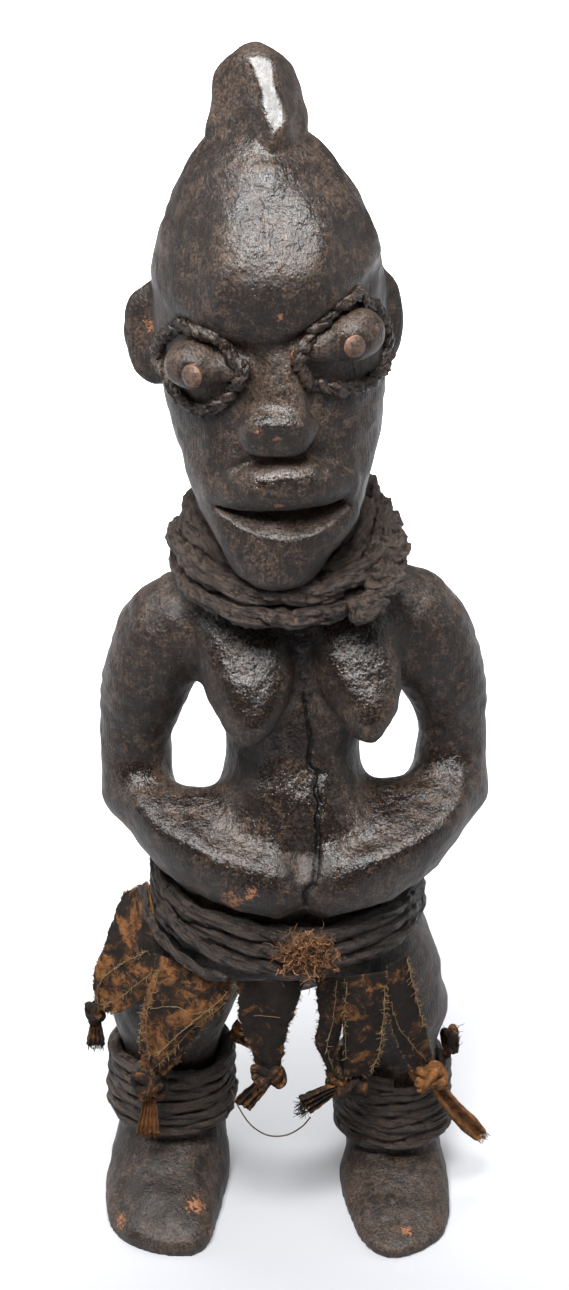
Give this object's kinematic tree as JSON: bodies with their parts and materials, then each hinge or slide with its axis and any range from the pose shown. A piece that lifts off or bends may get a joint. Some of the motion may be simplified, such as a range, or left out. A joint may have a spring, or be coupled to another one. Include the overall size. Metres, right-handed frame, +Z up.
{
  "type": "fertility doll",
  "caption": "Carved wooden standing female figure with a crest, tack eyes, hands on the belly, cord bindings and hanging cloth strips.",
  "frame": {"origin": "bottom centre of the object's bounding box, on the surface that the soles stand on", "axes": "+Z up from the soles to the crest; the face looks along -Y; +X is the figure's own left side"},
  "size_m": [0.1552, 0.1051, 0.45],
  "materials": {
    "carved_wood": "dark encrusted patina, satin where handled",
    "copper_tack": "worn copper, dull",
    "rusted_nail": "rusted",
    "bound_cord": "encrusted twisted fibre",
    "raw_fibre": "dry frayed fibre",
    "old_cloth": "coarse woven cloth, stained and stiff"
  },
  "bodies": {
    "figure": {"carved_figure": "carved_wood", "right_eye_tack": "copper_tack", "right_eye_nail": "rusted_nail", "right_eye_cord": "bound_cord", "left_eye_tack": "copper_tack", "left_eye_nail": "rusted_nail", "left_eye_cord": "bound_cord", "neck_cord_lower": "bound_cord", "neck_cord_middle": "bound_cord", "neck_cord_upper": "bound_cord", "neck_plait": "bound_cord", "hip_cord_lower": "bound_cord", "hip_cord_middle": "bound_cord", "hip_cord_upper": "bound_cord", "hip_cord_front": "bound_cord", "fibre_tuft": "raw_fibre", "right_shin_wrap": "bound_cord", "left_shin_wrap": "bound_cord", "right_apron_back": "old_cloth", "right_apron_front": "old_cloth", "right_tie_knot": "old_cloth", "right_inner_flap": "old_cloth", "left_inner_strip": "old_cloth", "left_middle_strip": "old_cloth", "left_outer_strip": "old_cloth", "left_inner_tie": "old_cloth", "left_outer_tie": "old_cloth", "left_back_tie": "old_cloth", "loose_thread": "raw_fibre"},
    "hanging_strip": {"centre_strip": "old_cloth"},
    "hanging_corner": {"right_corner_tail": "old_cloth"},
    "hanging_tie": {"right_tie_tail": "old_cloth"}
  },
  "joints": [
    {"name": "centre_strip_swing", "type": "hinge", "parent": "figure", "child": "hanging_strip", "pos_m": [-0.0071, -0.0328, 0.1119], "axis": [-1, 0, 0], "range_deg": [-12, 70]},
    {"name": "corner_tail_swing", "type": "hinge", "parent": "figure", "child": "hanging_corner", "pos_m": [-0.074, -0.0066, 0.0838], "axis": [-1, 0, 0], "range_deg": [-15, 55]},
    {"name": "tie_tail_swing", "type": "hinge", "parent": "figure", "child": "hanging_tie", "pos_m": [-0.054, -0.0234, 0.0522], "axis": [-1, 0, 0], "range_deg": [-8, 60]}
  ]
}
